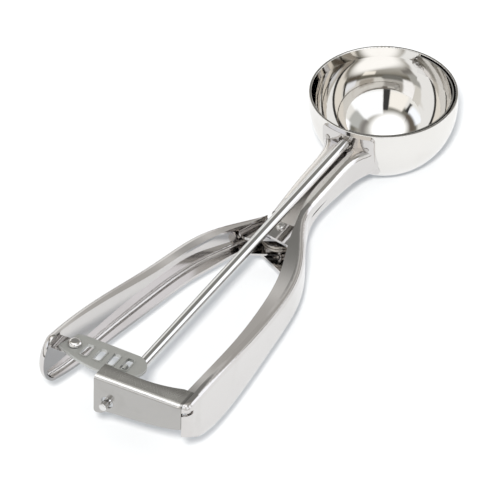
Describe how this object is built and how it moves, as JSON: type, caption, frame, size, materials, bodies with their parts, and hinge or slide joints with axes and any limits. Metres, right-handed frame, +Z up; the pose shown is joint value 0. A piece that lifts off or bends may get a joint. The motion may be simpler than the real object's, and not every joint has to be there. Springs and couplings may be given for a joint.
{
  "type": "lever ice cream scoop",
  "caption": "Round scoop bowl on a two-handled squeeze grip whose rack and pinion turn a rod and sweep a thin scraper blade round the inside of the bowl.",
  "frame": {"origin": "on the table plane, under the middle of the scoop's length and width", "axes": "+X from the end arm towards the bowl, along the rod; +Y towards the moving handle; +Z up, out of the bowl's mouth"},
  "size_m": [0.2402, 0.0677, 0.0384],
  "materials": {
    "bowl_steel": "mirror polished stainless steel",
    "handle_steel": "mirror polished stainless steel",
    "rod_steel": "polished stainless bar",
    "gear_steel": "satin stainless steel",
    "rivet_steel": "polished rivet heads",
    "spring_steel": "drawn spring wire",
    "blade_steel": "polished thin strip"
  },
  "bodies": {
    "frame": {"bowl": "bowl_steel", "fixed_handle": "handle_steel", "end_arm": "handle_steel", "strap_welds": "handle_steel", "pivot_rivet": "rivet_steel", "return_spring": "spring_steel", "front_pin": "rivet_steel"},
    "moving_handle": {"moving_handle": "handle_steel", "rack_rivet": "rivet_steel"},
    "rack": {"rack": "gear_steel"},
    "rod_and_scraper": {"centre_rod": "rod_steel", "pinion": "gear_steel", "scraper": "blade_steel"}
  },
  "joints": [
    {"name": "handle_squeeze", "type": "hinge", "parent": "frame", "child": "moving_handle", "pos_m": [0.01335, 0, 0.016], "axis": [0, 0, 1], "range_deg": [0, 8.57], "stiffness_Nm_per_rad": 6, "springref_deg": -6.88, "deforming": ["return_spring"]},
    {"name": "rack_swing", "type": "hinge", "parent": "moving_handle", "child": "rack", "pos_m": [-0.09915, 0.0237, 0.03345], "axis": [0, 0, 1], "range_deg": [-8.6, 0]},
    {"name": "rod_turn", "type": "hinge", "parent": "frame", "child": "rod_and_scraper", "pos_m": [0, 0, 0.028], "axis": [1, 0, 0], "range_deg": [0, 180]}
  ],
  "couplings": [
    {"joint": "rack_swing", "follows": "handle_squeeze", "ratio": -1},
    {"joint": "rod_turn", "follows": "handle_squeeze", "ratio": 21}
  ]
}
